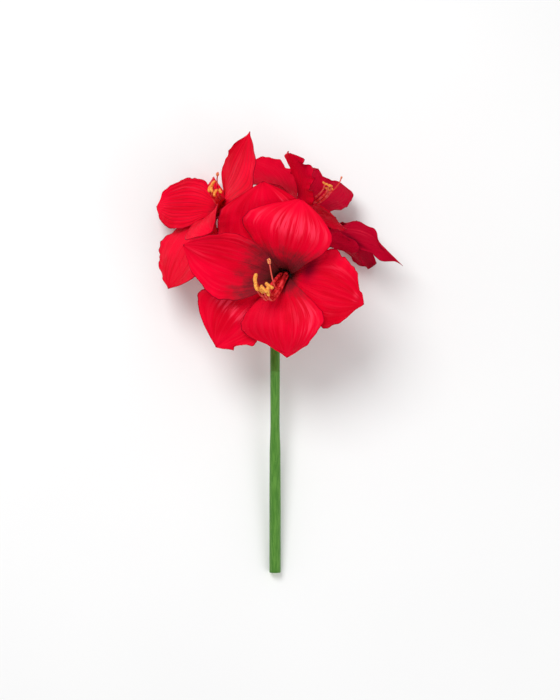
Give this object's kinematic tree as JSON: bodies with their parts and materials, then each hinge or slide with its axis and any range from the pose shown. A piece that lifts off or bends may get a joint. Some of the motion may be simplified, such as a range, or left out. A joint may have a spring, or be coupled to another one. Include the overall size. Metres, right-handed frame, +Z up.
{
  "type": "cut amaryllis stem",
  "caption": "Cut amaryllis stem lying on its side: a smooth green stalk with large open red trumpet blooms at its head, each with broad waved petals, stamens and a pistil.",
  "frame": {"origin": "middle of the base of the object's box, on the surface that the stem lies on", "axes": "+Z up from the surface, +Y along the stalk from its cut end towards the blooms, +X to the right seen from above with the blooms at the far end"},
  "size_m": [0.2706, 0.4644, 0.1719],
  "materials": {
    "petal": "soft velvety red petal with fine lengthwise veins",
    "stalk": "smooth satin green",
    "stamen": "satin red thread with yellow-orange grainy tips"
  },
  "bodies": {
    "root": {"stalk": "stalk", "front_flower_stalk": "stalk", "front_inner_petal_1": "petal", "front_inner_petal_2": "petal", "front_inner_petal_3": "petal", "front_outer_petal_1": "petal", "front_outer_petal_2": "petal", "front_outer_petal_3": "petal", "front_stamens": "stamen", "front_pistil": "stamen", "left_flower_stalk": "stalk", "left_inner_petal_1": "petal", "left_inner_petal_2": "petal", "left_inner_petal_3": "petal", "left_outer_petal_1": "petal", "left_outer_petal_2": "petal", "left_outer_petal_3": "petal", "left_stamens": "stamen", "left_pistil": "stamen", "right_flower_stalk": "stalk", "right_inner_petal_1": "petal", "right_inner_petal_2": "petal", "right_inner_petal_3": "petal", "right_outer_petal_1": "petal", "right_outer_petal_2": "petal", "right_outer_petal_3": "petal", "right_stamens": "stamen", "right_pistil": "stamen", "back_flower_stalk": "stalk", "back_inner_petal_1": "petal", "back_inner_petal_2": "petal", "back_inner_petal_3": "petal", "back_outer_petal_1": "petal", "back_outer_petal_2": "petal", "back_outer_petal_3": "petal", "back_stamens": "stamen", "back_pistil": "stamen"}
  },
  "joints": []
}
